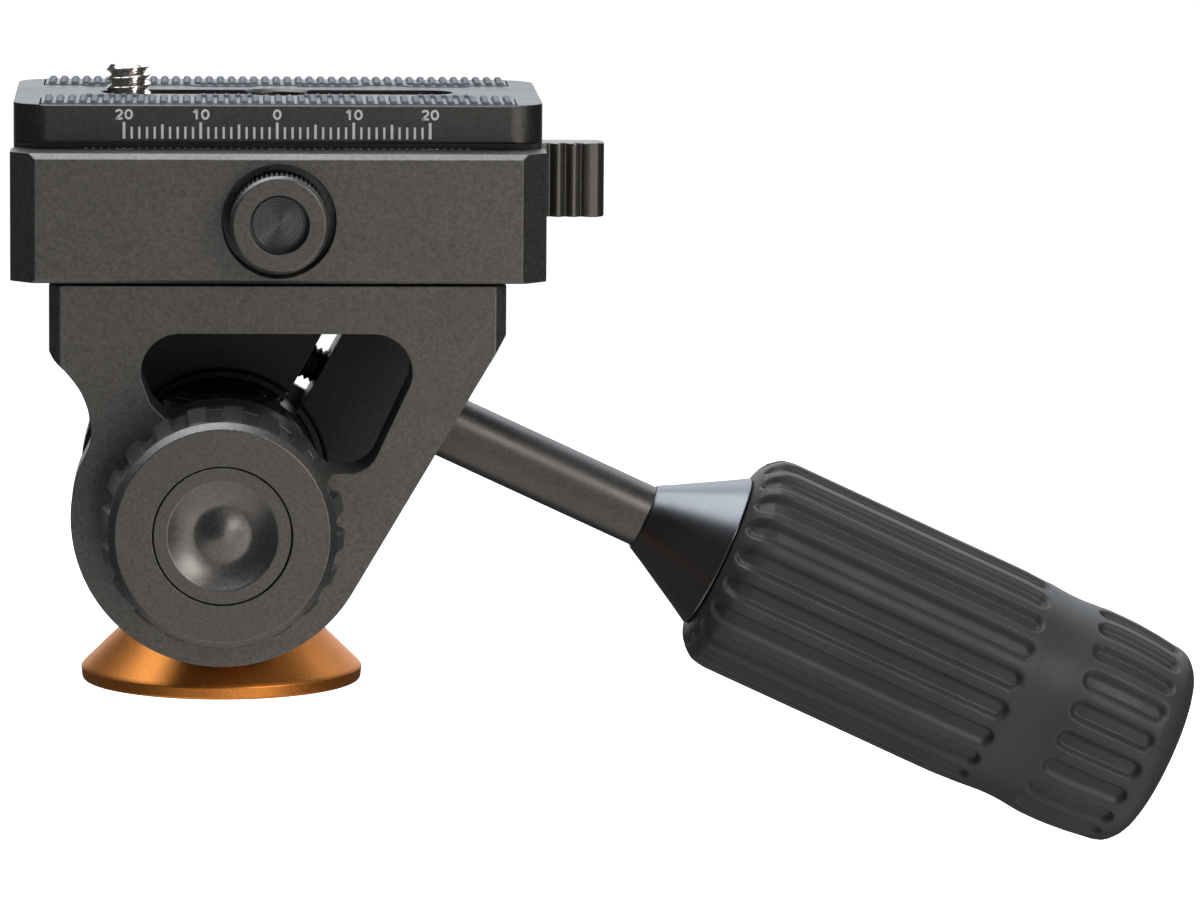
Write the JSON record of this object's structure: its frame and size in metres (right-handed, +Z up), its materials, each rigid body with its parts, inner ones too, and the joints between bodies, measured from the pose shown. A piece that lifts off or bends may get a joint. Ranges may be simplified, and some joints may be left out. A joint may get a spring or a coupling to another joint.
{
  "type": "fluid head",
  "caption": "Compact fluid head: conical base, damped tilt between two side arms, lever clamp with sliding camera plate, and twist-lock handle with a ribbed grip.",
  "frame": {"origin": "centre of the tripod socket's mouth, on the pan axis, in the plane of the base's underside", "axes": "+Z up along the pan axis; +X towards the operator's handle, along the clamp's jaws; +Y away from the lock knob, along the tilt axis"},
  "size_m": [0.1605, 0.0759, 0.1085],
  "materials": {
    "grey_anodised": "fine bead-blasted dark grey anodised",
    "black_anodised": "satin black anodised",
    "orange_anodised": "satin orange anodised",
    "steel": "turned steel",
    "nickel": "bright nickel plate",
    "bronze": "machined bearing bronze",
    "bearing_polymer": "natural bearing polymer",
    "black_plastic": "moulded black plastic",
    "rubber": "matt black moulded rubber"
  },
  "bodies": {
    "base": {"base_flange": "orange_anodised", "pan_spindle": "steel", "pan_thrust_washer": "bearing_polymer", "spindle_spring_washer": "steel", "spindle_nut": "steel"},
    "pan_body": {"pan_housing": "black_anodised", "pan_sleeve": "bronze", "pan_cap": "black_anodised"},
    "lock_shoe_body": {"lock_shoe": "bronze"},
    "lock_knob_body": {"lock_knob": "grey_anodised", "lock_knob_cap": "grey_anodised", "lock_knob_stem": "steel", "lock_knob_washer": "steel"},
    "tilt_head": {"front_side_arm": "grey_anodised", "rear_clamp_arm": "grey_anodised", "front_bushing": "bronze", "drum_liner": "black_plastic", "rear_cover": "grey_anodised", "damping_rotor": "steel", "chamber_seal": "rubber", "rear_cover_screw_1": "steel", "rear_cover_screw_2": "steel", "rear_cover_screw_3": "steel", "clamp_body": "grey_anodised", "arm_screw_front_left": "steel", "arm_screw_front_right": "steel", "arm_screw_rear_left": "steel", "arm_screw_rear_right": "steel", "draw_bar": "steel", "lever_pin": "steel", "jaw_guide_pin_left": "steel", "jaw_guide_pin_right": "steel", "jaw_spring_left": "steel", "jaw_spring_right": "steel"},
    "jaw": {"moving_jaw": "grey_anodised"},
    "lever": {"cam_lever": "grey_anodised"},
    "adjusting_knob": {"clamp_knob": "grey_anodised", "clamp_knob_disc": "black_anodised"},
    "plate": {"qr_plate": "grey_anodised", "front_pad": "rubber", "rear_pad": "rubber", "stop_screw_left": "steel", "stop_screw_right": "steel"},
    "screw_carrier": {"screw_retainer": "bearing_polymer"},
    "screw": {"camera_screw": "nickel"},
    "handle": {"handle_stud": "steel", "handle_rod": "grey_anodised", "handle_ferrule": "black_anodised", "grip_core": "black_plastic", "grip_end_screw": "steel", "rubber_grip": "rubber"}
  },
  "joints": [
    {"name": "pan", "type": "hinge", "parent": "base", "child": "pan_body", "pos_m": [0, 0, 0], "axis": [0, 0, 1], "continuous": true},
    {"name": "lock_knob_turn", "type": "hinge", "parent": "pan_body", "child": "lock_knob_body", "pos_m": [0, -0.033, 0.025], "axis": [0, 1, 0], "range_deg": [-90, 90]},
    {"name": "lock_shoe_press", "type": "slide", "parent": "pan_body", "child": "lock_shoe_body", "axis": [0, 1, 0], "range_m": [-0.000252, 0.000252]},
    {"name": "tilt", "type": "hinge", "parent": "pan_body", "child": "tilt_head", "pos_m": [0, 0, 0.025], "axis": [0, 1, 0], "range_deg": [-90, 60]},
    {"name": "lever_open", "type": "hinge", "parent": "tilt_head", "child": "lever", "pos_m": [0.0073, 0.0306, 0.0638], "axis": [0, 0, 1], "range_deg": [0, 110]},
    {"name": "jaw_slide", "type": "slide", "parent": "tilt_head", "child": "jaw", "axis": [0, 1, 0], "range_m": [0, 0.00221]},
    {"name": "clamp_knob_turn", "type": "hinge", "parent": "tilt_head", "child": "adjusting_knob", "pos_m": [0.0073, -0.027, 0.0638], "axis": [0, 1, 0], "range_deg": [-360, 360]},
    {"name": "plate_slide", "type": "slide", "parent": "tilt_head", "child": "plate", "axis": [1, 0, 0], "range_m": [-0.02, 0.02]},
    {"name": "screw_slide", "type": "slide", "parent": "plate", "child": "screw_carrier", "axis": [1, 0, 0], "range_m": [0, 0.0394]},
    {"name": "camera_screw_turn", "type": "hinge", "parent": "screw_carrier", "child": "screw", "pos_m": [-0.0124, 0, 0.075], "axis": [0, 0, 1], "continuous": true},
    {"name": "handle_twist", "type": "hinge", "parent": "tilt_head", "child": "handle", "pos_m": [0.01222, 0.0202, 0.03965], "axis": [0.9071, 0, -0.4209], "range_deg": [-90, 90]}
  ],
  "couplings": [
    {"joint": "jaw_slide", "follows": "lever_open", "m_per_rad": 0.0011459},
    {"joint": "lock_shoe_press", "follows": "lock_knob_turn", "m_per_rad": 0.00015915}
  ]
}
